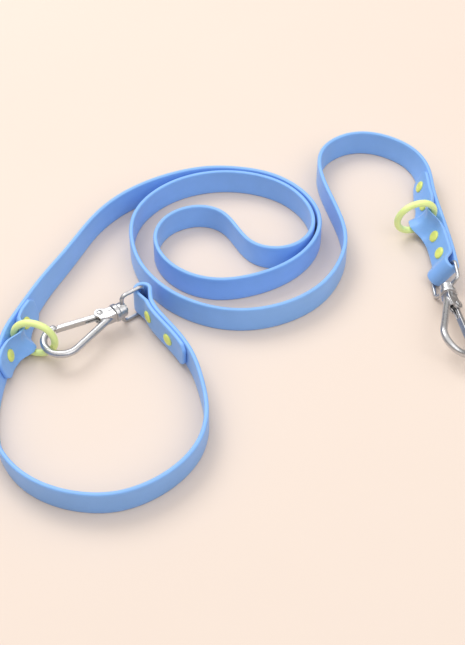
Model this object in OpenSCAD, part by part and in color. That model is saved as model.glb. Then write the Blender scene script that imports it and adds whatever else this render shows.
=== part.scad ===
// Training leash: one flat coated strap laid in a double spiral on the floor,
// with a swivel snap hook at each end and a ring near each hook.
// Origin: centre of the footprint, on the floor. +Z up. Millimetres.

/* [Strap] */
// Width of the strap
strap_w = 20; // [15:0.5:25]
// Thickness of the strap
strap_t = 3; // [2:0.1:4]
// Space between two riveted layers
layer_gap = 0.1; // [0.1:0.05:0.5]
// Inside radius of the fold round a hook's eye
fold_inner_r = 3.4; // [2.8:0.1:5]
// Distance over which the handle's fold closes to two touching layers
handle_fold_run = 12; // [11:0.5:14]
// Distance over which the lead's fold closes to two touching layers
lead_fold_run = 14; // [12:0.5:17]

/* [Rings] */
// How much wider a ring's inside is than the strap
ring_room = 2.8; // [2.6:0.1:8]
// Thickness of a ring's bar
ring_bar = 4.8; // [3.5:0.1:5.5]
// Running clearance round a ring's bar
ring_gap = 0.35; // [0.3:0.05:1]
// Swing of the handle ring at rest
handle_ring_swing = 2; // [-3:0.5:3]
// Swing of the lead ring at rest
lead_ring_swing = 12; // [-20:1:20]

/* [Keeper] */
// Half length of the keeper strip that holds the handle ring
keeper_half = 28; // [26:1:34]
// Distance of each keeper rivet from the ring
keeper_rivet = 15; // [14.5:0.5:20]

/* [Rivets] */
// Diameter of a rivet's post
post_d = 3; // [2:0.1:4]
// Diameter of a rivet's domed cap
cap_d = 8.6; // [7:0.1:10]
// Height of a rivet's domed cap
cap_h = 1.6; // [1:0.1:2.5]

/* [Hooks] */
// Thickness of the eye's bar
eye_bar = 2.8; // [2:0.1:3.5]
// Space between the strap's edge and the eye
eye_gap = 0.5; // [0.3:0.1:1.5]
// Distance from the eye's cross bar to the far side of its frame
eye_len = 17; // [16:0.5:22]
// Thickness of the round rod of the hook's body
rod_d = 5; // [4:0.1:6]
// Radius of the bow, to the middle of the rod
bow_r = 12.3; // [11:0.1:15]
// Distance from the gate's pivot to the middle of the bow
bow_reach = 31.5; // [30:0.5:40]
// Diameter of the collar above the neck
collar_d = 12.4; // [10:0.1:14]
// Diameter of the swivel pin
swivel_d = 3; // [2.5:0.1:4]
// Diameter of the gate's pivot pin
pivot_d = 2.4; // [2:0.1:3]
// Width of the gate
gate_w = 4.2; // [3.5:0.1:5]
// Running clearance of a pin in its bore, on the radius
pin_gap = 0.06; // [0.03:0.01:0.1]

/* [Hidden] */
$fn = 48;

strap_blue = "#6f9be0";
ring_lime = "#eefdaa";
rivet_lime = "#dfe66c";
metal = "#c9cdd2";
spring_steel = "#8d9298";

half_w = strap_w / 2;
half_t = strap_t / 2;
pitch = strap_t + layer_gap;
// The strap's edges are eased: how far in from the edge, and what share of the thickness is left.
edge_in = 0.7;
edge_flat = 0.55;
// Share of the width that stays flat where the strap bulges round a ring.
flat_share = 0.5;
fold_r = fold_inner_r + half_t;
fold_lift = eye_bar + eye_gap + 0.1;
ring_r = (strap_w + ring_room + ring_bar) / 2;

// The strap's route: x, y, share of the fold's lift, and lean outward in degrees.
ROUTE = [
    [-59, -1, 1, 0], [-58, -12, 1, 0], [-52, -23, 1, 0], [-44, -34, 0.9, 0],
    [-35, -47, 0.6, 0], [-28, -62, 0.3, 0], [-23, -81, 0, 0], [-20, -102, 0, 0],
    [-23, -123, 0, 2], [-33, -141, 0, 4], [-49, -156, 0, 4], [-70, -166, 0, 4],
    [-92, -167, 0, 4], [-114, -161, 0, 4], [-133, -148, 0, 5], [-146, -129, 0, 7],
    [-153, -107, 0, 10], [-155, -86, 0.2, 13], [-154, -67, 0.4, 16], [-152, -51, 0.4, 17],
    [-150, -37, 0.4, 17], [-145, -23, 0.4, 17], [-139, -6, 0.2, 12], [-132, 13, 0, 7],
    [-122, 33, 0, 4], [-112, 54, 0, 2], [-102, 75, 0, 0], [-87, 95, 0, 0],
    [-67, 111, 0, 0], [-45, 122, 0, 0], [-22, 128, 0, 0], [1, 127, 0, 0],
    [23, 121, 0, 0], [42, 107, 0, 0], [55, 86, 0, 0], [57, 63, 0, 0],
    [47, 41, 0, 0], [30, 25, 0, 0], [9, 15, 0, 0], [-14, 11, 0, 0],
    [-36, 18, 0, 0], [-52, 34, 0, 0], [-58, 55, 0, 0], [-50, 75, 0, 0],
    [-31, 85, 0, 0], [-12, 80, 0, 0], [-1, 63, 0, 0], [10, 47, 0, 0],
    [28, 42, 0, 0], [45, 50, 0, 0], [53, 68, 0, 0], [49, 89, 0, 0],
    [36, 107, 0, 0], [18, 118, 0, 0], [-4, 123, 0, 0], [-26, 121, 0, 0],
    [-47, 112, 0, 0], [-64, 96, 0, 0], [-74, 75, 0, 0], [-74, 51, 0, 0],
    [-67, 27, 0, 0], [-52, 6, 0, 0], [-32, -9, 0, 0], [-8, -17, 0, 0],
    [16, -16, 0, 0], [39, -7, 0, 0], [58, 9, 0, 0], [70, 31, 0, 0],
    [75, 55, 0, 0], [71, 81, 0, 0], [64, 107, 0, 0], [60, 132, 0, 0],
    [65, 152, 0, 0], [80, 165, 0, 0], [98, 168, 0, 1], [116, 161, 0, 3],
    [130, 148, 0, 8], [137, 130, 0, 17], [137, 111, 0, 27], [138, 95, 0, 31],
    [140, 79, 0, 34], [142, 62, 0, 34], [144, 45, 0, 34], [145, 27, 0, 34]
];
last = len(ROUTE) - 1;

// Places along the route, counted in points.
handle_rivets = [1.4, 3.15];
handle_cut = 4.4;
keeper_at = 20;
lead_ring_at = 80;
lead_rivets = [77.8, 79, 81, 82];
lead_cut = 77.2;

function unit(v) = v / norm(v);
function step(x) = let (c = min(1, max(0, x))) c * c * (3 - 2 * c);

// Uniform cubic B-spline whose control points are moved out so that it meets the route's points.
function point(i) =
    i < 0 ? ROUTE[0] + i * (ROUTE[1] - ROUTE[0]) :
    i > last ? ROUTE[last] + (i - last) * (ROUTE[last] - ROUTE[last - 1]) : ROUTE[i];
function control(i) = point(i) + (2 * point(i) - point(i - 1) - point(i + 1)) / 6;
function blend(f) = [
    pow(1 - f, 3) / 6, (3 * pow(f, 3) - 6 * f * f + 4) / 6,
    (-3 * pow(f, 3) + 3 * f * f + 3 * f + 1) / 6, pow(f, 3) / 6
];
function spline(u) =
    let (k = floor(u), b = blend(u - k))
    b[0] * control(k - 1) + b[1] * control(k) + b[2] * control(k + 1) + b[3] * control(k + 2);

// Middle of the strap's section, and its three directions: along, across (up) and inner face.
function centre(u) =
    let (s = spline(u))
    [s[0], s[1], max(0, s[2]) * fold_lift + half_w * cos(s[3]) + half_t * abs(sin(s[3]))];
function along(u) = unit(centre(u + 0.02) - centre(u - 0.02));
function across(u) =
    let (t = along(u), a = spline(u)[3], h = unit([t[0], t[1], 0]))
    let (lean = [-h[1] * sin(a), h[0] * sin(a), cos(a)])
    unit(lean - (lean * t) * t);
function inward(u) = cross(along(u), across(u));

// How far apart the two layers of a fold or of the keeper are, at a distance from its end or ring.
function fold_gap(d, run) = pitch + (2 * fold_r - pitch) * (1 - step(d / run));
ring_rise = ring_bar + 2 * ring_gap - layer_gap;
ring_seat = half_t + ring_gap + ring_bar / 2;
ring_bend = ring_r - sqrt(pow(ring_r - ring_bar / 2 - ring_gap, 2) - half_w * half_w)
    + half_t * edge_flat - ring_seat;
// The top layer stays at its full rise this far either side of the ring.
ring_top = 2.2;
ring_run = keeper_rivet - cap_d / 2 + 1;
function over_ring(d, run = ring_run) = 1 - step((abs(d) - ring_top) / (run - ring_top));
// The edges take longer than the middle to lie flat again.
curl_run = 21;
function ring_curl(d) = ring_bend * [over_ring(d), over_ring(d, curl_run)];
function apart(u, v) = norm(centre(u) - centre(v));

// One section: points go round the strap. Curl bends it toward the inner face, by one amount
// for its flat middle and another for its edges.
function section(p, w, n, curl = [0, 0], scale_w = 1) =
    let (s = half_w - edge_in, m = half_w * flat_share, q = half_t * edge_flat)
    let (pairs = [
        [-s, half_t], [-m, half_t], [m, half_t], [s, half_t], [half_w, q], [half_w, -q],
        [s, -half_t], [m, -half_t], [-m, -half_t], [-s, -half_t], [-half_w, -q], [-half_w, q]
    ])
    [for (c = pairs) let (bend = abs(c[0]) > m ? curl[1] : curl[0])
        p + w * c[0] * scale_w + n * (c[1] + bend * pow(c[0] / half_w, 2))];

function layer(u, gap, curl = [0, 0], scale_w = 1) =
    section(centre(u) + inward(u) * gap, across(u), inward(u), curl, scale_w);
function returning(u, gap, curl = [0, 0]) =
    section(centre(u) + inward(u) * gap, across(u), -inward(u), -curl);

// The half turn round an eye's cross bar: way is -1 before the route and 1 after it.
function turn(u, way, a) =
    let (n = inward(u), t = along(u) * way)
    let (out = -n * cos(a) + t * sin(a))
    section(centre(u) + n * fold_r + out * fold_r, across(u), -out);

fine = 0.25;
back_step = 0.1;
arc_step = 15;
function handle_back() = [
    for (u = [handle_cut : -back_step : back_step / 2]) returning(u, fold_gap(apart(u, 0), handle_fold_run))
];
function lead_gap(u) =
    fold_gap(apart(u, last), lead_fold_run) + ring_rise * over_ring(apart(u, lead_ring_at));
function lead_curl(u) = ring_curl(apart(u, lead_ring_at));
function lead_back() =
    [for (u = [last - back_step : -back_step : lead_cut]) returning(u, lead_gap(u), lead_curl(u))];
function strap_sections() = concat(
    handle_back(),
    [for (a = [180 - arc_step : -arc_step : arc_step]) turn(0, -1, a)],
    [for (u = [0 : fine : last]) layer(u, 0)],
    [for (a = [arc_step : arc_step : 180 - arc_step]) turn(last, 1, a)],
    lead_back()
);

module sweep(sections) {
    n = len(sections[0]);
    m = len(sections);
    polyhedron(
        points = [for (s = sections) each s],
        faces = concat(
            [[for (j = [0 : n - 1]) j]],
            [for (i = [0 : m - 2], j = [0 : n - 1])
                each [
                    [i * n + j, (i + 1) * n + j, (i + 1) * n + (j + 1) % n],
                    [i * n + j, (i + 1) * n + (j + 1) % n, i * n + (j + 1) % n]
                ]],
            [[for (j = [n - 1 : -1 : 0]) (m - 1) * n + j]]
        ),
        convexity = 10
    );
}

// Puts a child's X, Y and Z along three directions, with its origin at p.
module place(p, x, y, z) {
    multmatrix([
        [x[0], y[0], z[0], p[0]], [x[1], y[1], z[1], p[1]], [x[2], y[2], z[2], p[2]], [0, 0, 0, 1]
    ]) children();
}

// Stands a child on the strap at u, with its Z through both layers and z = 0 at the outer face.
module on_strap(u) {
    place(centre(u) - inward(u) * half_t, along(u), across(u), inward(u)) children();
}

stack = 2 * strap_t + layer_gap;

module rivet_posts(at) {
    for (u = at) on_strap(u) translate([0, 0, -cap_h / 2]) cylinder(d = post_d, h = stack + cap_h);
}

module cap() {
    ball_r = (cap_h * cap_h + cap_d * cap_d / 4) / (2 * cap_h);
    difference() {
        intersection() {
            translate([0, 0, cap_h - ball_r]) sphere(r = ball_r, $fn = 96);
            cylinder(d = cap_d, h = cap_h);
        }
        translate([0, 0, -past]) cylinder(d = post_d, h = past + cap_h / 2);
    }
}

module rivet_caps(at) {
    for (u = at) on_strap(u) {
        translate([0, 0, stack]) cap();
        mirror([0, 0, 1]) cap();
    }
}

module strap() {
    color(strap_blue) sweep(strap_sections());
}

keeper_steps = 60;
keeper_end_w = 0.8;
function keeper_ends() = [
    for (s = [-1, 1]) keeper_at + s * keeper_half / apart(keeper_at - 0.5, keeper_at + 0.5)
];
function keeper_gap(u) = pitch + ring_rise * over_ring(apart(u, keeper_at));
function keeper_curl(u) = ring_curl(apart(u, keeper_at));
module keeper() {
    ends = keeper_ends();
    color(strap_blue) sweep([
        for (i = [0 : keeper_steps])
            let (u = ends[0] + (ends[1] - ends[0]) * i / keeper_steps)
            layer(u, keeper_gap(u), keeper_curl(u), i % keeper_steps == 0 ? keeper_end_w : 1)
    ]);
}

module ring(u, swing) {
    p = centre(u) + inward(u) * ring_seat;
    color(ring_lime)
        place(p, inward(u) * cos(swing) + along(u) * sin(swing),
              inward(u) * sin(swing) - along(u) * cos(swing), across(u))
        translate([ring_r, 0, 0]) rotate([90, 0, 0])
        rotate_extrude($fn = 96) translate([ring_r, 0]) circle(d = ring_bar, $fn = 32);
}

module handle_ring() { ring(keeper_at, handle_ring_swing); }
module lead_ring() { ring(lead_ring_at, lead_ring_swing); }

module handle_posts() { color(rivet_lime) rivet_posts(handle_rivets); }
module handle_caps() { color(rivet_lime) rivet_caps(handle_rivets); }
module lead_posts() { color(rivet_lime) rivet_posts(lead_rivets); }
module lead_caps() { color(rivet_lime) rivet_caps(lead_rivets); }

// --- Hooks. Along a hook's X: 0 is the eye's cross bar and the bow is at the far end.
// Its Y points to the gate's side, and its Z is the cross bar's direction.
eye_half = half_w + eye_gap + eye_bar / 2;
boss_h = 5;
boss_d = 10.4;
boss_x = eye_len - eye_bar / 2;
head_d = 6;
head_h = 1.2;
head_gap = 0.2;
collar_gap = 0.3;
collar_x = boss_x + boss_h + collar_gap;
collar_h = 3;
neck_d = 8;
neck_h = 4;
neck_x = collar_x + collar_h;
pivot_x = neck_x + 8.5;
pivot_y = 3.5;
bow_x = pivot_x + bow_reach;
nose_a = 92;
nose = [bow_x + bow_r * cos(nose_a), bow_r * sin(nose_a)];
cheek_t = 1.4;
fork_back = 2;
fork_toe = 2.8;
fork_shoulder = 0.6;
slot_gap = 0.2;
slot_from = neck_x + 3.6;
slot_floor = -1.2;
slot_w = gate_w + 2 * slot_gap;
fork_w = slot_w + 2 * cheek_t;
spine_x = neck_x + 3;
spine_y = -1.6;
spine_far = norm([bow_x - spine_x, spine_y]);
spine_a = asin(bow_r / spine_far) + atan2(spine_y, bow_x - spine_x);
spine_len = sqrt(spine_far * spine_far - bow_r * bow_r);
gate_t = 3.2;
gate_drop = 1.2;
gate_end = [nose[0] - pivot_x, nose[1] - gate_drop - pivot_y];
gate_a = atan2(gate_end[1], gate_end[0]);
gate_len = norm(gate_end) + 0.6;
nose_gap = 0.25;
root_d = 6.8;
coil_wire = 0.6;
coil_r = pivot_d / 2 + 0.25 + coil_wire / 2;
coil_turns = 3;
coil_slot = coil_turns * coil_wire + 0.5;
coil_lap = 0.98;
leg_len = 9;
short_leg = 3;
leg_room = 1.5;
leg_cover = 0.4;
pin_end = 0.3;

// A straight rod is a hair thinner than the bend that it runs into, and runs a little way in.
seam = 0.02;
lap = 0.2;
corner = 3.4;
// A cut runs this far past the face that it leaves by.
past = 1;

// A straight round bar from a to b.
module bar(a, b, d) {
    way = unit(b - a);
    side = unit(cross(abs(way[2]) < 0.9 ? [0, 0, 1] : [0, 1, 0], way));
    place(a, side, cross(way, side), way) cylinder(d = d, h = norm(b - a));
}

module eye() {
    x = eye_len;
    straight = eye_bar - seam;
    reach = eye_half - corner + lap;
    color(metal) difference() {
        union() {
            for (e = [0, x]) bar([e, 0, -reach], [e, 0, reach], straight);
            for (s = [-1, 1]) {
                bar([corner - lap, 0, s * eye_half], [x - corner + lap, 0, s * eye_half], straight);
                for (e = [-1, 1])
                    place([e < 0 ? corner : x - corner, 0, s * (eye_half - corner)],
                          [e, 0, 0], [0, 0, s], [0, -e * s, 0])
                    rotate_extrude(angle = 90) translate([corner, 0]) circle(d = eye_bar);
            }
            bar([boss_x, 0, 0], [boss_x + boss_h, 0, 0], boss_d);
        }
        bar([boss_x - past, 0, 0], [boss_x + boss_h + past, 0, 0], swivel_d + 2 * pin_gap);
    }
}

module swivel() {
    color(metal) {
        bar([boss_x - head_gap - head_h, 0, 0], [boss_x - head_gap, 0, 0], head_d);
        bar([boss_x - head_gap - head_h / 2, 0, 0], [neck_x, 0, 0], swivel_d);
    }
}

module fork_outline() {
    polygon([
        [neck_x, -neck_d / 2], [neck_x + neck_h, -neck_d / 2],
        [pivot_x - fork_back, spine_y - fork_back], [pivot_x + fork_toe, spine_y],
        [pivot_x + fork_toe, pivot_y], [pivot_x, pivot_y + root_d / 2],
        [spine_x, neck_d / 2 + fork_shoulder], [neck_x, neck_d / 2]
    ]);
    translate([pivot_x, pivot_y]) circle(d = root_d + 1);
}

module hook() {
    color(metal) difference() {
        union() {
            bar([collar_x, 0, 0], [neck_x, 0, 0], collar_d);
            bar([neck_x - past, 0, 0], [neck_x + neck_h, 0, 0], neck_d);
            difference() {
                translate([0, 0, -fork_w / 2]) linear_extrude(fork_w) fork_outline();
                translate([slot_from, slot_floor, -slot_w / 2]) cube([bow_reach, bow_reach, slot_w]);
            }
            translate([spine_x, spine_y, 0]) rotate([0, 90, -spine_a])
                cylinder(d = rod_d - seam, h = spine_len + lap);
            translate([bow_x, 0, 0]) rotate([0, 0, -90 - spine_a])
                rotate_extrude(angle = 90 + spine_a + nose_a) translate([bow_r, 0]) circle(d = rod_d);
            translate([nose[0], nose[1], 0]) sphere(d = rod_d - seam);
        }
        bar([collar_x - past, 0, 0], [neck_x + seam, 0, 0], swivel_d);
        translate([pivot_x, pivot_y, -fork_w]) cylinder(d = pivot_d, h = 2 * fork_w);
    }
}

module gate() {
    color(metal) difference() {
        translate([pivot_x, pivot_y, -gate_w / 2]) rotate([0, 0, gate_a]) union() {
            cylinder(d = root_d, h = gate_w);
            translate([0, -gate_t / 2, 0]) cube([gate_len, gate_t, gate_w]);
        }
        translate([pivot_x, pivot_y, -gate_w]) cylinder(d = pivot_d + 2 * pin_gap, h = 2 * gate_w);
        translate([nose[0], nose[1], -rod_d]) cylinder(d = rod_d + 2 * nose_gap, h = 2 * rod_d);
        translate([pivot_x, pivot_y, -coil_slot / 2]) rotate([0, 0, gate_a])
            translate([-root_d, -root_d, 0])
            cube([root_d + leg_len + leg_room, root_d + leg_cover, coil_slot]);
        translate([pivot_x, pivot_y, -coil_slot / 2]) cylinder(r = coil_r + coil_wire, h = coil_slot);
    }
}

module pivot() {
    color(metal) translate([pivot_x, pivot_y, -fork_w / 2 - pin_end])
        cylinder(d = pivot_d, h = fork_w + 2 * pin_end);
}

module spring() {
    color(spring_steel) translate([pivot_x, pivot_y, 0]) {
        for (k = [0 : coil_turns - 1])
            translate([0, 0, (k - (coil_turns - 1) / 2) * coil_wire * coil_lap])
            rotate_extrude() translate([coil_r, 0]) circle(d = coil_wire, $fn = 16);
        for (s = [-1, 1])
            rotate([0, 0, s > 0 ? gate_a : 0])
            translate([0, -coil_r, s * (coil_turns - 1) / 2 * coil_wire])
            rotate([0, s * 90, 0]) cylinder(d = coil_wire, h = s > 0 ? leg_len : short_leg, $fn = 16);
    }
}

// Puts a hook's pieces in the fold at u: swing turns the eye about its cross bar from the
// strap's line, and spin turns the body on its swivel.
module in_fold(u, way, swing, spin = 0) {
    p = centre(u) + inward(u) * fold_r;
    x = along(u) * way * cos(swing) + inward(u) * sin(swing);
    place(p, x, cross(across(u), x), across(u)) rotate([spin, 0, 0]) children();
}

handle_swing = 124;
handle_spin = 180;
lead_swing = 0;
lead_spin = 0;
module at_handle(spin = handle_spin) { in_fold(0, -1, handle_swing, spin) children(); }
module at_lead(spin = lead_spin) { in_fold(last, 1, lead_swing, spin) children(); }

module keeper_posts() { color(rivet_lime) rivet_posts(keeper_rivets()); }
module keeper_caps() { color(rivet_lime) rivet_caps(keeper_rivets()); }
module handle_eye() { at_handle(0) eye(); }
module handle_swivel() { at_handle() swivel(); }
module handle_hook() { at_handle() hook(); }
module handle_gate() { at_handle() gate(); }
module handle_pivot() { at_handle() pivot(); }
module handle_spring() { at_handle() spring(); }
module lead_eye() { at_lead(0) eye(); }
module lead_swivel() { at_lead() swivel(); }
module lead_hook() { at_lead() hook(); }
module lead_gate() { at_lead() gate(); }
module lead_pivot() { at_lead() pivot(); }
module lead_spring() { at_lead() spring(); }
function keeper_rivets() = [
    for (s = [-1, 1]) keeper_at + s * keeper_rivet / apart(keeper_at - 0.5, keeper_at + 0.5)
];

strap();
keeper();
handle_ring();
lead_ring();
handle_posts();
handle_caps();
keeper_posts();
keeper_caps();
lead_posts();
lead_caps();
handle_eye();
handle_swivel();
handle_hook();
handle_gate();
handle_pivot();
handle_spring();
lead_eye();
lead_swivel();
lead_hook();
lead_gate();
lead_pivot();
lead_spring();
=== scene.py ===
"""Looks of a training leash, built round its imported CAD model."""

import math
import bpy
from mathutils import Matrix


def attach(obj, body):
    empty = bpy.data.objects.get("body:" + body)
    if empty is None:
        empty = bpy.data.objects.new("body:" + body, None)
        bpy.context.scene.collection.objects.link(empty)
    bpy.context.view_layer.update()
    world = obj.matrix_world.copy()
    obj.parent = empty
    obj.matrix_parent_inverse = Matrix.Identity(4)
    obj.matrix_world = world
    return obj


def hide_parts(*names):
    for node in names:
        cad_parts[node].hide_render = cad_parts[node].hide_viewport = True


bl_info = {
    "name": "Training leash looks",
    "version": (1, 0, 0),
    "blender": (4, 5, 0),
    "location": "View3D > Sidebar > Leash",
    "description": "Builds the strap, rings, rivets and snap hooks of a training leash",
    "category": "Object",
}

import bmesh
import bpy
import numpy as np
from bpy.props import FloatProperty, FloatVectorProperty, IntProperty, PointerProperty
from mathutils import Matrix, Vector

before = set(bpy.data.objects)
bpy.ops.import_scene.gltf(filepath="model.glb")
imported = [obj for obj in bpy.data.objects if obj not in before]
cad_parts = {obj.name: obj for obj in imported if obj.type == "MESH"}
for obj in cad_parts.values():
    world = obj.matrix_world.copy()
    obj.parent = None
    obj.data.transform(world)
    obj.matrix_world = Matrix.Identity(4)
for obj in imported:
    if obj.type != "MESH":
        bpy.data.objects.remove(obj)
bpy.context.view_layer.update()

# --- The route of the strap -----------------------------------------------------------
# x and y in metres, share of the fold's lift, and lean outward in degrees.
ROUTE = np.array([
    [-.059, -.001, 1, 0], [-.058, -.012, 1, 0], [-.052, -.023, 1, 0], [-.044, -.034, .9, 0],
    [-.035, -.047, .6, 0], [-.028, -.062, .3, 0], [-.023, -.081, 0, 0], [-.020, -.102, 0, 0],
    [-.023, -.123, 0, 2], [-.033, -.141, 0, 4], [-.049, -.156, 0, 4], [-.070, -.166, 0, 4],
    [-.092, -.167, 0, 4], [-.114, -.161, 0, 4], [-.133, -.148, 0, 5], [-.146, -.129, 0, 7],
    [-.153, -.107, 0, 10], [-.155, -.086, .2, 13], [-.154, -.067, .4, 16], [-.152, -.051, .4, 17],
    [-.150, -.037, .4, 17], [-.145, -.023, .4, 17], [-.139, -.006, .2, 12], [-.132, .013, 0, 7],
    [-.122, .033, 0, 4], [-.112, .054, 0, 2], [-.102, .075, 0, 0], [-.087, .095, 0, 0],
    [-.067, .111, 0, 0], [-.045, .122, 0, 0], [-.022, .128, 0, 0], [.001, .127, 0, 0],
    [.023, .121, 0, 0], [.042, .107, 0, 0], [.055, .086, 0, 0], [.057, .063, 0, 0],
    [.047, .041, 0, 0], [.030, .025, 0, 0], [.009, .015, 0, 0], [-.014, .011, 0, 0],
    [-.036, .018, 0, 0], [-.052, .034, 0, 0], [-.058, .055, 0, 0], [-.050, .075, 0, 0],
    [-.031, .085, 0, 0], [-.012, .080, 0, 0], [-.001, .063, 0, 0], [.010, .047, 0, 0],
    [.028, .042, 0, 0], [.045, .050, 0, 0], [.053, .068, 0, 0], [.049, .089, 0, 0],
    [.036, .107, 0, 0], [.018, .118, 0, 0], [-.004, .123, 0, 0], [-.026, .121, 0, 0],
    [-.047, .112, 0, 0], [-.064, .096, 0, 0], [-.074, .075, 0, 0], [-.074, .051, 0, 0],
    [-.067, .027, 0, 0], [-.052, .006, 0, 0], [-.032, -.009, 0, 0], [-.008, -.017, 0, 0],
    [.016, -.016, 0, 0], [.039, -.007, 0, 0], [.058, .009, 0, 0], [.070, .031, 0, 0],
    [.075, .055, 0, 0], [.071, .081, 0, 0], [.064, .107, 0, 0], [.060, .132, 0, 0],
    [.065, .152, 0, 0], [.080, .165, 0, 0], [.098, .168, 0, 1], [.116, .161, 0, 3],
    [.130, .148, 0, 8], [.137, .130, 0, 17], [.137, .111, 0, 27], [.138, .095, 0, 31],
    [.140, .079, 0, 34], [.142, .062, 0, 34], [.144, .045, 0, 34], [.145, .027, 0, 34],
])
LAST = len(ROUTE) - 1
MM = 0.001

# Places along the route, counted in its points, as in the part.
HANDLE_RIVETS = (1.4, 3.15)
LEAD_RIVETS = (77.8, 79, 81, 82)
HANDLE_CUT, LEAD_CUT = 4.4, 77.2
KEEPER_AT, LEAD_RING_AT = 20, 80
KEEPER_RIVET = 15 * MM
KEEPER_HALF = 28 * MM
KEEPER_SECTIONS = 76
# Usual distance between two points of the route, and the steps along the folds.
POINT_SPACING = 21 * MM
FOLD_STEP = 0.05
FOLD_ARC = 10

LAYER_GAP = 0.1 * MM
FOLD_RADIUS = 4.9 * MM
FOLD_LIFT = 3.4 * MM
HANDLE_FOLD_RUN = 12 * MM
LEAD_FOLD_RUN = 14 * MM
RING_BAR = 4.8 * MM
RING_GAP = 0.35 * MM
RING_RADIUS = 13.8 * MM
RING_TOP = 2.2 * MM
RING_RUN = 11.7 * MM
CURL_RUN = 21 * MM
FLAT_SHARE = 0.5
EDGE_SHARE = 0.55
CAP_D = 8.6 * MM
CAP_H = 1.6 * MM
# A cap's outline as shares of its radius and height, from the dimple to the foot.
CAP_OUTLINE = (
    (0, 0.80), (0.10, 0.82), (0.16, 0.93), (0.45, 0.92), (0.70, 0.86), (0.86, 0.72),
    (0.95, 0.52), (0.995, 0.26), (1, 0.06), (0.97, -0.02), (0.7, -0.03), (0, -0.03),
)
PIN_END = 0.3 * MM
PIN_RADIUS = 1.2 * MM
PIN_HEAD_RADIUS = 2.1 * MM
PIN_HEAD_H = 0.8 * MM
PIN_SIDES = 32

# The stage: lamps as name, place, size in metres and power in watts.
LAMPS = (
    ("key", (-0.7, 0.9, 1.5), 1.1, 15.0),
    ("fill", (0.9, -0.9, 1.3), 1.4, 6.0),
)
FLOOR_HALF = 4
SKY_COLOUR = (1, 0.97, 0.94, 1)
HORIZON, ZENITH = 0.1, 1.15
LENS, SENSOR = 76.465, 36
LOOK_AT = Vector((-0.004, -0.011, 0))


# --- Sizes and colours that a user may change -----------------------------------------
class LeashStrap(bpy.types.PropertyGroup):
    width: FloatProperty(
        name="Width", description="Width of the strap",
        default=20 * MM, min=0.015, max=0.025, subtype="DISTANCE", unit="LENGTH")
    thickness: FloatProperty(
        name="Thickness", description="Thickness of the coated webbing",
        default=3 * MM, min=0.002, max=0.004, subtype="DISTANCE", unit="LENGTH")
    edge_radius: FloatProperty(
        name="Edge radius", description="Rounding of the strap's long edges",
        default=1.2 * MM, min=0.0005, max=0.0015, subtype="DISTANCE", unit="LENGTH")
    corner_cut: FloatProperty(
        name="Corner cut", description="How much is clipped off the corners of a cut end",
        default=4.2 * MM, min=0.0, max=0.008, subtype="DISTANCE", unit="LENGTH")
    step: FloatProperty(
        name="Step", description="Distance between two sections of the strap",
        default=2.4 * MM, min=0.001, max=0.01, subtype="DISTANCE", unit="LENGTH")
    colour: FloatVectorProperty(
        name="Colour", description="Colour of the coating", size=3, subtype="COLOR",
        min=0, max=1, default=(0.22, 0.45, 0.90))


class LeashTrim(bpy.types.PropertyGroup):
    ring_colour: FloatVectorProperty(
        name="Ring colour", description="Colour of the coated rings", size=3, subtype="COLOR",
        min=0, max=1, default=(0.85, 0.99, 0.37))
    rivet_colour: FloatVectorProperty(
        name="Rivet colour", description="Colour of the rivet caps", size=3, subtype="COLOR",
        min=0, max=1, default=(0.76, 0.83, 0.19))


class LeashMetal(bpy.types.PropertyGroup):
    colour: FloatVectorProperty(
        name="Colour", description="Colour of the plated castings", size=3, subtype="COLOR",
        min=0, max=1, default=(0.56, 0.565, 0.58))
    voxel: FloatProperty(
        name="Cast detail", description="Smallest edge that a casting keeps",
        default=0.3 * MM, min=0.0002, max=0.001, subtype="DISTANCE", unit="LENGTH")
    rounds: IntProperty(
        name="Smoothing", description="Rounds of smoothing on a casting's edges",
        default=3, min=0, max=10)


class LeashStage(bpy.types.PropertyGroup):
    floor_colour: FloatVectorProperty(
        name="Floor colour", description="Colour of the floor", size=3, subtype="COLOR",
        min=0, max=1, default=(0.75, 0.645, 0.57))
    distance: FloatProperty(
        name="Camera distance", description="From the camera to the point that it looks at",
        default=0.925, min=0.3, max=3, subtype="DISTANCE", unit="LENGTH")
    pitch: FloatProperty(
        name="Camera pitch", description="Angle of the view below the horizon",
        default=math.radians(46.5), min=0, max=math.pi / 2, subtype="ANGLE", unit="ROTATION")


# --- The strap's curve ----------------------------------------------------------------
def unit(v):
    return v / np.linalg.norm(v)


def ease(x):
    c = min(1.0, max(0.0, x))
    return c * c * (3 - 2 * c)


def point(i):
    if i < 0:
        return ROUTE[0] + i * (ROUTE[1] - ROUTE[0])
    if i > LAST:
        return ROUTE[LAST] + (i - LAST) * (ROUTE[LAST] - ROUTE[LAST - 1])
    return ROUTE[i]


def control(i):
    """Control point moved out so that the curve meets the route's point."""
    return point(i) + (2 * point(i) - point(i - 1) - point(i + 1)) / 6


def spline(u):
    """Uniform cubic B-spline through the route at u."""
    k = math.floor(u)
    f = u - k
    blend = (
        (1 - f) ** 3 / 6, (3 * f ** 3 - 6 * f * f + 4) / 6,
        (-3 * f ** 3 + 3 * f * f + 3 * f + 1) / 6, f ** 3 / 6)
    return sum(b * control(k - 1 + i) for i, b in enumerate(blend))


def centre(u):
    """Middle of the strap's section at u."""
    strap = bpy.context.scene.leash_strap
    x, y, share, lean = spline(u)
    a = math.radians(lean)
    up = strap.width / 2 * math.cos(a) + strap.thickness / 2 * abs(math.sin(a))
    return np.array([x, y, max(0.0, share) * FOLD_LIFT + up])


def along(u):
    return unit(centre(u + 0.02) - centre(u - 0.02))


def across(u):
    """Direction of the strap's width, upward with its lean."""
    t = along(u)
    a = math.radians(spline(u)[3])
    h = unit(np.array([t[0], t[1], 0]))
    lean = np.array([-h[1] * math.sin(a), h[0] * math.sin(a), math.cos(a)])
    return unit(lean - (lean @ t) * t)


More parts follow.
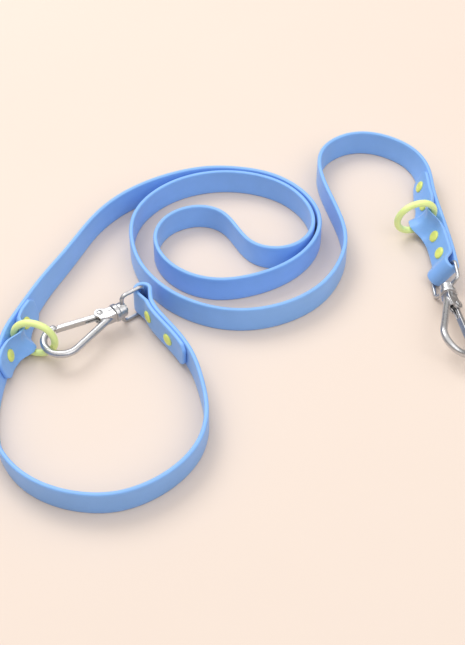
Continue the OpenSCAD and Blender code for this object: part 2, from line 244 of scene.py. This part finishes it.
def inward(u):
    """Direction that the strap's inner face looks in."""
    return np.cross(along(u), across(u))


def apart(u, v):
    """Straight distance between two places on the route."""
    return float(np.linalg.norm(centre(u) - centre(v)))


def pitch():
    """From the middle of one riveted layer to the middle of the other."""
    return bpy.context.scene.leash_strap.thickness + LAYER_GAP


def fold_gap(d, run):
    """How far apart a fold's two layers are, at a distance from the eye."""
    return pitch() + (2 * FOLD_RADIUS - pitch()) * (1 - ease(d / run))


def over_ring(d, run=RING_RUN):
    """Share of the rise over a ring, at a distance from it."""
    return 1 - ease((abs(d) - RING_TOP) / (run - RING_TOP))


RING_RISE = RING_BAR + 2 * RING_GAP - LAYER_GAP


def ring_bend():
    """How far the upper layer's edges curl up to clear the ring's round bar."""
    strap = bpy.context.scene.leash_strap
    half_w, half_t = strap.width / 2, strap.thickness / 2
    seat = half_t + RING_GAP + RING_BAR / 2
    reach = RING_RADIUS - RING_BAR / 2 - RING_GAP
    return RING_RADIUS - math.sqrt(reach ** 2 - half_w ** 2) + half_t * EDGE_SHARE - seat


def ring_curl(d):
    """Bend of the layer over a ring: of its flat middle and of its edges."""
    return ring_bend() * np.array([over_ring(d), over_ring(d, CURL_RUN)])


class Station:
    """One section of a strip: its middle, its width's direction, its face's and its bend."""

    def __init__(self, p, w, n, curl=np.zeros(2)):
        self.p, self.w, self.n, self.curl = p, w, n, curl


def layer(u, gap=0.0, curl=np.zeros(2)):
    return Station(centre(u) + inward(u) * gap, across(u), inward(u), curl)


def returning(u, gap, curl=np.zeros(2)):
    """A section of a folded back layer, whose outer face is the route's inner one."""
    return Station(centre(u) + inward(u) * gap, across(u), -inward(u), -curl)


def turn(u, way, a):
    """A section of the half turn round an eye: way is -1 before the route and 1 after it."""
    n, t = inward(u), along(u) * way
    out = -n * math.cos(a) + t * math.sin(a)
    return Station(centre(u) + n * FOLD_RADIUS + out * FOLD_RADIUS, across(u), -out)


def steps(start, stop, size):
    """Values from start to stop, size route points apart or a little less."""
    n = max(2, math.ceil(abs(stop - start) / size) + 1)
    return np.linspace(start, stop, n)


def strap_stations():
    """The whole strap: back layer and fold at the handle, the route, fold and back layer."""
    coarse = bpy.context.scene.leash_strap.step / POINT_SPACING
    half = FOLD_STEP / 2
    fold = [math.radians(a) for a in range(FOLD_ARC, 180, FOLD_ARC)]
    made = [
        returning(u, fold_gap(apart(u, 0), HANDLE_FOLD_RUN))
        for u in steps(HANDLE_CUT, half, FOLD_STEP)]
    made += [turn(0, -1, a) for a in reversed(fold)]
    made += [layer(u) for u in steps(0, LAST, coarse)]
    made += [turn(LAST, 1, a) for a in fold]
    for u in steps(LAST - half, LEAD_CUT, FOLD_STEP):
        d = apart(u, LEAD_RING_AT)
        gap = fold_gap(apart(u, LAST), LEAD_FOLD_RUN) + RING_RISE * over_ring(d)
        made.append(returning(u, gap, ring_curl(d)))
    return made


def keeper_span(distance):
    """A distance from the handle ring, counted in the route's points."""
    return distance / apart(KEEPER_AT - 0.5, KEEPER_AT + 0.5)


def keeper_stations():
    """The keeper: flat on the strap at both ends and lifted over the handle ring."""
    span = keeper_span(KEEPER_HALF)
    made = []
    for u in np.linspace(KEEPER_AT - span, KEEPER_AT + span, KEEPER_SECTIONS):
        d = apart(u, KEEPER_AT)
        made.append(layer(u, pitch() + RING_RISE * over_ring(d), ring_curl(d)))
    return made


# --- Mesh helpers ---------------------------------------------------------------------
def outline(half_w, half_t, radius, corner=5, face=7):
    """Points round a strip's section, from the middle of its lower edge, as (a, b, edge)."""
    ring = []
    quarter = np.linspace(0, math.pi / 2, corner)
    top = half_w - radius
    for a in np.linspace(-top, top, face)[1:-1]:
        ring.append((a, half_t, 0.0))
    for q in quarter:
        ring.append((top + radius * math.sin(q), half_t - radius * (1 - math.cos(q)), math.sin(q)))
    for q in quarter[::-1]:
        ring.append((top + radius * math.sin(q), -half_t + radius * (1 - math.cos(q)), math.sin(q)))
    for a in np.linspace(top, -top, face)[1:-1]:
        ring.append((a, -half_t, 0.0))
    for q in quarter:
        ring.append((-top - radius * math.sin(q), -half_t + radius * (1 - math.cos(q)), math.sin(q)))
    for q in quarter[::-1]:
        ring.append((-top - radius * math.sin(q), half_t - radius * (1 - math.cos(q)), math.sin(q)))
    return ring


def strip_mesh(name, stations):
    """A strip with rounded edges and clipped, eased ends, swept through its stations."""
    strap = bpy.context.scene.leash_strap
    half_w, half_t, ease_end = strap.width / 2, strap.thickness / 2, strap.edge_radius
    ring = outline(half_w, half_t, strap.edge_radius)
    line = np.array([s.p for s in stations])
    run = np.r_[0, np.cumsum(np.linalg.norm(np.diff(line, axis=0), axis=1))]
    extra = np.array([0, 0.1, 0.3, 0.6, 1.0]) * ease_end
    at = np.unique(np.r_[extra, run[(run > ease_end) & (run < run[-1] - ease_end)], run[-1] - extra])
    p, w, n = (
        np.stack([np.interp(at, run, [getattr(s, k)[i] for s in stations]) for i in range(3)], axis=1)
        for k in ("p", "w", "n"))
    flat_bend, edge_bend = (np.interp(at, run, [s.curl[i] for s in stations]) for i in range(2))
    w /= np.linalg.norm(w, axis=1)[:, None]
    n /= np.linalg.norm(n, axis=1)[:, None]
    rows, cols = len(at), len(ring)
    bm = bmesh.new()
    uv_layer = bm.loops.layers.uv.new("UVMap")
    edge_layer = bm.verts.layers.float.new("edge")
    bmesh.ops.create_grid(bm, x_segments=rows - 1, y_segments=cols, size=1)
    round_at = np.r_[0, np.cumsum([
        math.dist(ring[j][:2], ring[(j + 1) % cols][:2]) for j in range(cols)])]
    place = {}
    for v in bm.verts:
        i = round((v.co.x + 1) / 2 * (rows - 1))
        j = round((v.co.y + 1) / 2 * cols)
        a, b, edge = ring[j % cols]
        end = min(at[i], run[-1] - at[i])
        thin = math.sqrt(max(0.0, 1 - (1 - min(1.0, end / ease_end)) ** 2))
        thick = (half_t - ease_end * (1 - thin)) / half_t
        widest = half_w - max(0.0, strap.corner_cut - end) - ease_end * (1 - thin)
        a *= min(1.0, widest / half_w)
        out = max(0.0, (abs(a) / half_w - FLAT_SHARE) / (1 - FLAT_SHARE))
        bend = flat_bend[i] * (a / half_w) ** 2 + (edge_bend[i] - flat_bend[i]) * out ** 2
        v.co = Vector(p[i] + w[i] * a + n[i] * (b * thick + bend))
        v[edge_layer] = max(edge, 1 - thin)
        place[v] = (at[i], round_at[j])
    for f in bm.faces:
        for loop in f.loops:
            loop[uv_layer].uv = place[loop.vert]
        f.smooth = True
    bmesh.ops.remove_doubles(bm, verts=bm.verts, dist=1e-7)
    bmesh.ops.holes_fill(bm, edges=[e for e in bm.edges if e.is_boundary], sides=0)
    bmesh.ops.recalc_face_normals(bm, faces=bm.faces)
    return finish_mesh(name, bm), [tuple(q) for q in p]


def finish_mesh(name, bm):
    mesh = bpy.data.meshes.new(name)
    bm.to_mesh(mesh)
    bm.free()
    made = bpy.data.objects.new(name, mesh)
    bpy.context.scene.collection.objects.link(made)
    return made


def merged_copy(source):
    """A copy of a CAD piece as one joined skin."""
    bm = bmesh.new()
    bm.from_mesh(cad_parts[source].data)
    bmesh.ops.remove_doubles(bm, verts=bm.verts, dist=2e-6)
    bmesh.ops.recalc_face_normals(bm, faces=bm.faces)
    return bm


def casting(name, source):
    """A CAD piece with its sharp edges eased, as on a plated casting."""
    metal = bpy.context.scene.leash_metal
    made = finish_mesh(name, merged_copy(source))
    skin = made.modifiers.new("Skin", "REMESH")
    skin.mode, skin.voxel_size, skin.use_smooth_shade = "VOXEL", metal.voxel, True
    mesh = bpy.data.meshes.new_from_object(
        made.evaluated_get(bpy.context.evaluated_depsgraph_get()))
    made.modifiers.clear()
    made.data = mesh
    bm = bmesh.new()
    bm.from_mesh(mesh)
    for _ in range(metal.rounds):
        bmesh.ops.smooth_vert(
            bm, verts=bm.verts, factor=0.5, use_axis_x=True, use_axis_y=True, use_axis_z=True)
    for f in bm.faces:
        f.smooth = True
    bm.to_mesh(mesh)
    bm.free()
    return made


def lathe(bm, profile, place, sides=48):
    """Spins a profile of (radius, height) about a local Z and puts it in place."""
    before = set(bm.verts)
    verts = [bm.verts.new((r, 0, z)) for r, z in profile]
    edges = [bm.edges.new(pair) for pair in zip(verts, verts[1:])]
    bmesh.ops.spin(
        bm, geom=verts + edges, cent=(0, 0, 0), axis=(0, 0, 1), angle=2 * math.pi,
        steps=sides, use_merge=True)
    new = [v for v in bm.verts if v not in before]
    bmesh.ops.remove_doubles(bm, verts=new, dist=1e-6)
    new = [v for v in bm.verts if v not in before]
    bmesh.ops.transform(bm, matrix=place, verts=new)


def pivot_pin(bm, source):
    """A pin with a domed head at each end, in the place of a straight CAD pin."""
    at = np.array([source.matrix_world @ v.co for v in source.data.vertices])
    middle = at.mean(axis=0)
    z, x = np.linalg.svd(at - middle)[2][:2]
    cheek = ((at - middle) @ z).max() - PIN_END
    rise = np.linspace(0, math.pi / 2, 6)
    head = [(PIN_HEAD_RADIUS * math.cos(a), cheek + PIN_HEAD_H * math.sin(a)) for a in rise]
    half = [(PIN_RADIUS, cheek)] + head
    both = [(r, -h) for r, h in half[::-1]] + half
    lathe(bm, both, frame_of(middle, x, np.cross(z, x), z), PIN_SIDES)
    bmesh.ops.recalc_face_normals(bm, faces=bm.faces)
    for f in bm.faces:
        f.smooth = True


def frame_of(p, x, y, z):
    """Matrix that puts local X, Y and Z along three directions at p."""
    made = Matrix.Identity(4)
    for column, v in enumerate((x, y, z, p)):
        for row in range(3):
            made[row][column] = v[row]
    return made


def dress(piece, material):
    piece.data.materials.clear()
    piece.data.materials.append(material)


# --- Materials ------------------------------------------------------------------------
GRAIN_DEPTH = 0.2 * MM


def node(tree, kind, inputs=None, **settings):
    made = tree.nodes.new(kind)
    for key, value in settings.items():
        setattr(made, key, value)
    for key, value in (inputs or {}).items():
        if isinstance(value, bpy.types.NodeSocket):
            tree.links.new(value, made.inputs[key])
        else:
            made.inputs[key].default_value = value
    return made


def new_group(name, inputs, outputs):
    tree = bpy.data.node_groups.new(name, "ShaderNodeTree")
    for label, kind, default in inputs:
        socket = tree.interface.new_socket(label, in_out="INPUT", socket_type=kind)
        if default is not None:
            socket.default_value = default
    for label, kind in outputs:
        tree.interface.new_socket(label, in_out="OUTPUT", socket_type=kind)
    return tree, tree.nodes.new("NodeGroupInput"), tree.nodes.new("NodeGroupOutput")


def mottle_group():
    """Slow change of a colour and of its gloss over a surface."""
    tree, inp, out = new_group(
        "Mottle",
        [("Colour", "NodeSocketColor", (0.5, 0.5, 0.5, 1)), ("Scale", "NodeSocketFloat", 40.0),
         ("Amount", "NodeSocketFloat", 0.1), ("Roughness", "NodeSocketFloat", 0.4),
         ("Spread", "NodeSocketFloat", 0.1)],
        [("Colour", "NodeSocketColor"), ("Roughness", "NodeSocketFloat")])
    place = node(tree, "ShaderNodeTexCoord").outputs["Object"]
    broad = node(tree, "ShaderNodeTexNoise",
                 {"Vector": place, "Scale": inp.outputs["Scale"], "Detail": 4.0, "Roughness": 0.6})
    low = node(tree, "ShaderNodeMath", {0: 1.0, 1: inp.outputs["Amount"]}, operation="SUBTRACT")
    high = node(tree, "ShaderNodeMath", {0: 1.0, 1: inp.outputs["Amount"]}, operation="ADD")
    value = node(tree, "ShaderNodeMapRange",
                 {"Value": broad.outputs["Fac"], "From Min": 0.3, "From Max": 0.7,
                  "To Min": low.outputs[0], "To Max": high.outputs[0]})
    shade = node(tree, "ShaderNodeHueSaturation",
                 {"Color": inp.outputs["Colour"], "Value": value.outputs["Result"]})
    fine = node(tree, "ShaderNodeTexNoise",
                {"Vector": place, "Scale": 900.0, "Detail": 3.0, "Roughness": 0.55})
    off = node(tree, "ShaderNodeMath", {0: fine.outputs["Fac"], 1: 0.5}, operation="SUBTRACT")
    rough = node(tree, "ShaderNodeMath",
                 {0: off.outputs[0], 1: inp.outputs["Spread"], 2: inp.outputs["Roughness"]},
                 operation="MULTIPLY_ADD")
    tree.links.new(shade.outputs["Color"], out.inputs["Colour"])
    tree.links.new(rough.outputs[0], out.inputs["Roughness"])
    return tree


def grain_group():
    """Height of a fine moulded or cast skin: pebbles, and a slow wave under them."""
    tree, inp, out = new_group(
        "Skin grain",
        [("Pebble", "NodeSocketFloat", 1400.0), ("Wave", "NodeSocketFloat", 90.0),
         ("Wave share", "NodeSocketFloat", 0.4)],
        [("Height", "NodeSocketFloat")])
    place = node(tree, "ShaderNodeTexCoord").outputs["Object"]
    pebble = node(tree, "ShaderNodeTexVoronoi",
                  {"Vector": place, "Scale": inp.outputs["Pebble"]}, feature="SMOOTH_F1")
    wave = node(tree, "ShaderNodeTexNoise",
                {"Vector": place, "Scale": inp.outputs["Wave"], "Detail": 2.0})
    height = node(tree, "ShaderNodeMath",
                  {0: wave.outputs["Fac"], 1: inp.outputs["Wave share"],
                   2: pebble.outputs["Distance"]}, operation="MULTIPLY_ADD")
    tree.links.new(height.outputs[0], out.inputs["Height"])
    return tree


def shared(name, make):
    return bpy.data.node_groups.get(name) or make()


def new_material(name):
    made = bpy.data.materials.new(name)
    made.use_nodes = True
    tree = made.node_tree
    tree.nodes.clear()
    shader = node(tree, "ShaderNodeBsdfPrincipled")
    node(tree, "ShaderNodeOutputMaterial", {"Surface": shader.outputs["BSDF"]})
    return made, tree, shader


def mottle(tree, colour, scale, amount, roughness, spread):
    made = node(tree, "ShaderNodeGroup")
    made.node_tree = shared("Mottle", mottle_group)
    for label, value in zip(("Colour", "Scale", "Amount", "Roughness", "Spread"),
                            ((*colour, 1), scale, amount, roughness, spread)):
        made.inputs[label].default_value = value
    return made


def grain(tree, shader, pebble, wave, share, strength, depth):
    made = node(tree, "ShaderNodeGroup")
    made.node_tree = shared("Skin grain", grain_group)
    for label, value in zip(("Pebble", "Wave", "Wave share"), (pebble, wave, share)):
        made.inputs[label].default_value = value
    bump = node(tree, "ShaderNodeBump",
                {"Height": made.outputs["Height"], "Strength": strength, "Distance": depth})
    tree.links.new(bump.outputs["Normal"], shader.inputs["Normal"])
    return bump


def coated_webbing():
    """Smooth blue coating: faint drawn lines along the strap, and a painted highlight on the rounded
    edges.
    """
    colour = tuple(bpy.context.scene.leash_strap.colour)
    made, tree, shader = new_material("Coated webbing")
    base = mottle(tree, colour, scale=28.0, amount=0.05, roughness=0.43, spread=0.14)
    # Painted highlight: a paler blue is mixed onto the rounded edges, where the light catches them,
    # and noise makes it patchy along the edge.
    edge_highlight_colour = tuple(min(1.0, c * 1.15 + 0.03) for c in colour)
    edge = node(tree, "ShaderNodeAttribute", attribute_name="edge")
    edge_highlight_noise = node(tree, "ShaderNodeTexNoise",
                {"Vector": node(tree, "ShaderNodeTexCoord").outputs["Object"], "Scale": 160.0,
                 "Detail": 4.0})
    share = node(tree, "ShaderNodeMapRange",
                 {"Value": edge_highlight_noise.outputs["Fac"], "From Min": 0.3, "From Max": 0.7,
                  "To Min": 0.08, "To Max": 0.28})
    edge_highlight_mask = node(tree, "ShaderNodeMath",
                {0: edge.outputs["Fac"], 1: share.outputs["Result"]}, operation="MULTIPLY")
    mix = node(tree, "ShaderNodeMix",
               {0: edge_highlight_mask.outputs[0], 6: base.outputs["Colour"], 7: (*edge_highlight_colour, 1)}, data_type="RGBA")
    tree.links.new(mix.outputs[2], shader.inputs["Base Color"])
    tree.links.new(base.outputs["Roughness"], shader.inputs["Roughness"])
    bump = grain(
        tree, shader, pebble=1700.0, wave=110.0, share=0.5, strength=0.16, depth=GRAIN_DEPTH)
    drawn = node(tree, "ShaderNodeMapping",
                 {"Vector": node(tree, "ShaderNodeUVMap", uv_map="UVMap").outputs["UV"],
                  "Scale": (14.0, 900.0, 1.0)})
    lines = node(tree, "ShaderNodeTexNoise",
                 {"Vector": drawn.outputs["Vector"], "Scale": 1.0, "Detail": 2.0})
    second = node(tree, "ShaderNodeBump",
                  {"Height": lines.outputs["Fac"], "Strength": 0.10, "Distance": GRAIN_DEPTH,
                   "Normal": bump.outputs["Normal"]})
    tree.links.new(second.outputs["Normal"], shader.inputs["Normal"])
    shader.inputs["Specular IOR Level"].default_value = 0.45
    shader.inputs["Sheen Weight"].default_value = 0.08
    shader.inputs["Sheen Roughness"].default_value = 0.5
    return made


def lime_coat(name, colour, roughness):
    """Lime powder coat with a slight orange peel."""
    made, tree, shader = new_material(name)
    base = mottle(tree, colour, scale=120.0, amount=0.04, roughness=roughness, spread=0.12)
    tree.links.new(base.outputs["Colour"], shader.inputs["Base Color"])
    tree.links.new(base.outputs["Roughness"], shader.inputs["Roughness"])
    grain(tree, shader, pebble=900.0, wave=260.0, share=1.0, strength=0.12, depth=GRAIN_DEPTH)
    shader.inputs["Coat Weight"].default_value = 0.25
    shader.inputs["Coat Roughness"].default_value = 0.2
    return made


def cast_zinc(name, colour, roughness, strength):
    """Plated casting: bright satin skin with a faint pebble and duller patches."""
    made, tree, shader = new_material(name)
    base = mottle(tree, colour, scale=150.0, amount=0.08, roughness=roughness, spread=0.18)
    tree.links.new(base.outputs["Colour"], shader.inputs["Base Color"])
    tree.links.new(base.outputs["Roughness"], shader.inputs["Roughness"])
    grain(
        tree, shader, pebble=1300.0, wave=320.0, share=1.2, strength=strength, depth=GRAIN_DEPTH)
    shader.inputs["Metallic"].default_value = 1.0
    return made


def floor_paint(colour):
    made, tree, shader = new_material("Floor paper")
    base = mottle(tree, colour, scale=6.0, amount=0.006, roughness=0.9, spread=0.05)
    tree.links.new(base.outputs["Colour"], shader.inputs["Base Color"])
    tree.links.new(base.outputs["Roughness"], shader.inputs["Roughness"])
    shader.inputs["Specular IOR Level"].default_value = 0.1
    return made


# --- Operators ------------------------------------------------------------------------
class LEASH_OT_strap(bpy.types.Operator):
    bl_idname = "leash.strap"
    bl_label = "Strap"

    def execute(self, context):
        strap, path = strip_mesh("leash_strap", strap_stations())
        dress(strap, coated_webbing())
        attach(strap, "strap")
        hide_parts("strap")
        return {"FINISHED"}


class LEASH_OT_keeper(bpy.types.Operator):
    """Makes the riveted keeper strip that holds the handle ring"""

    bl_idname = "leash.keeper"
    bl_label = "Keeper strip"

    def execute(self, context):
        keeper, _ = strip_mesh("keeper_strip", keeper_stations())
        dress(keeper, bpy.data.materials["Coated webbing"])
        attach(keeper, "strap")
        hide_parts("keeper")
        return {"FINISHED"}


class LEASH_OT_trim(bpy.types.Operator):
    """Paints the rings and the posts, and makes the rivets' caps"""

    bl_idname = "leash.trim"
    bl_label = "Rings and rivets"

    def execute(self, context):
        trim = context.scene.leash_trim
        ring = lime_coat("Ring coat", trim.ring_colour, 0.32)
        rivet = lime_coat("Rivet coat", trim.rivet_colour, 0.42)
        for name in ("handle_ring", "lead_ring"):
            dress(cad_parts[name], ring)
        profile = [(r * CAP_D / 2, h * CAP_H) for r, h in CAP_OUTLINE]
        stack = pitch() + context.scene.leash_strap.thickness
        half_t = context.scene.leash_strap.thickness / 2
        span = keeper_span(KEEPER_RIVET)
        for end, places in (("handle", HANDLE_RIVETS), ("lead", LEAD_RIVETS),
                            ("keeper", (KEEPER_AT - span, KEEPER_AT + span))):
            bm = bmesh.new()
            for u in places:
                t, w, n = along(u), across(u), inward(u)
                foot = centre(u) - n * half_t
                lathe(bm, profile, frame_of(foot + n * stack, t, w, n))
                lathe(bm, profile, frame_of(foot, t, -w, -n))
            bmesh.ops.recalc_face_normals(bm, faces=bm.faces)
            for f in bm.faces:
                f.smooth = True
            caps = finish_mesh(f"{end}_rivet_caps", bm)
            dress(caps, rivet)
            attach(caps, "strap")
            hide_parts(f"{end}_caps")
            dress(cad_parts[f"{end}_posts"], rivet)
        return {"FINISHED"}


class LEASH_OT_hooks(bpy.types.Operator):
    """Makes the castings, pivot rivets and spring wires, and paints the swivels"""

    bl_idname = "leash.hooks"
    bl_label = "Snap hooks"

    def execute(self, context):
        colour = tuple(context.scene.leash_metal.colour)
        cast = cast_zinc("Cast zinc", colour, 0.3, 0.25)
        pin = cast_zinc("Turned pin", tuple(c * 0.85 for c in colour), 0.24, 0.1)
        wire = cast_zinc("Spring wire", tuple(c * 0.6 for c in colour), 0.28, 0.08)
        for end in ("handle", "lead"):
            for name in ("eye", "hook", "gate"):
                source = f"{end}_{name}"
                piece = casting(f"{source}_casting", source)
                dress(piece, cast)
                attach(piece, source)
                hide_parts(source)
            bm = bmesh.new()
            pivot_pin(bm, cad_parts[f"{end}_pivot"])
            piece = finish_mesh(f"{end}_pivot_rivet", bm)
            dress(piece, pin)
            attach(piece, f"{end}_hook")
            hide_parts(f"{end}_pivot")
            # The spring's coil turns with the gate, so its long leg never meets the gate's walls.
            spring = finish_mesh(f"{end}_spring_wire", merged_copy(f"{end}_spring"))
            dress(spring, wire)
            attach(spring, f"{end}_gate")
            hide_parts(f"{end}_spring")
            dress(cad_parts[f"{end}_swivel"], pin)
        return {"FINISHED"}


class LEASH_OT_stage(bpy.types.Operator):
    """Lays the floor and sets the lights and the camera"""

    bl_idname = "leash.stage"
    bl_label = "Stage"

    def execute(self, context):
        stage = context.scene.leash_stage
        bm = bmesh.new()
        bmesh.ops.create_grid(bm, x_segments=8, y_segments=8, size=FLOOR_HALF)
        floor = finish_mesh("floor", bm)
        dress(floor, floor_paint(stage.floor_colour))
        for name, place, size, power in LAMPS:
            light = bpy.data.lights.new(name, "AREA")
            light.size, light.energy = size, power
            lamp = bpy.data.objects.new(name, light)
            lamp.location = place
            aim = Vector((0, 0, 0)) - lamp.location
            lamp.rotation_euler = aim.to_track_quat("-Z", "Y").to_euler()
            context.scene.collection.objects.link(lamp)
        world = bpy.data.worlds.new("Studio")
        world.use_nodes = True
        tree = world.node_tree
        way = node(tree, "ShaderNodeSeparateXYZ",
                   {"Vector": node(tree, "ShaderNodeTexCoord").outputs["Generated"]})
        height = node(tree, "ShaderNodeMapRange",
                      {"Value": way.outputs["Z"], "From Min": 0.0, "From Max": 0.85,
                       "To Min": HORIZON, "To Max": ZENITH}, interpolation_type="SMOOTHSTEP")
        sky = tree.nodes["Background"]
        sky.inputs["Color"].default_value = SKY_COLOUR
        tree.links.new(height.outputs["Result"], sky.inputs["Strength"])
        context.scene.world = world
        context.scene.view_settings.view_transform = "Standard"
        lens = bpy.data.cameras.new("view")
        lens.sensor_width, lens.lens = SENSOR, LENS
        camera = bpy.data.objects.new("view", lens)
        down = stage.pitch
        camera.location = LOOK_AT + stage.distance * Vector((0, -math.cos(down), math.sin(down)))
        camera.rotation_euler = (math.pi / 2 - down, 0, 0)
        context.scene.collection.objects.link(camera)
        context.scene.camera = camera
        return {"FINISHED"}


class LEASH_PT_sidebar(bpy.types.Panel):
    """Lists the leash's pieces and their sizes"""

    bl_idname = "LEASH_PT_sidebar"
    bl_label = "Training leash"
    bl_space_type = "VIEW_3D"
    bl_region_type = "UI"
    bl_category = "Leash"

    def draw(self, context):
        for key in GROUPS:
            sizes = getattr(context.scene, key)
            box = self.layout.box()
            for name in sizes.__annotations__:
                box.prop(sizes, name)
        for operator in OPERATORS:
            self.layout.operator(operator.bl_idname)


OPERATORS = (LEASH_OT_strap, LEASH_OT_keeper, LEASH_OT_trim, LEASH_OT_hooks, LEASH_OT_stage)
GROUPS = {
    "leash_strap": LeashStrap, "leash_trim": LeashTrim,
    "leash_metal": LeashMetal, "leash_stage": LeashStage,
}
CLASSES = (*GROUPS.values(), *OPERATORS, LEASH_PT_sidebar)


def register():
    for item in CLASSES:
        bpy.utils.register_class(item)
    for key, group in GROUPS.items():
        setattr(bpy.types.Scene, key, PointerProperty(type=group))


def unregister():
    for key in GROUPS:
        delattr(bpy.types.Scene, key)
    for item in reversed(CLASSES):
        bpy.utils.unregister_class(item)


def main():
    register()
    bpy.ops.leash.strap()
    bpy.ops.leash.keeper()
    bpy.ops.leash.trim()
    bpy.ops.leash.hooks()
    bpy.ops.leash.stage()


if __name__ == "__main__":
    main()
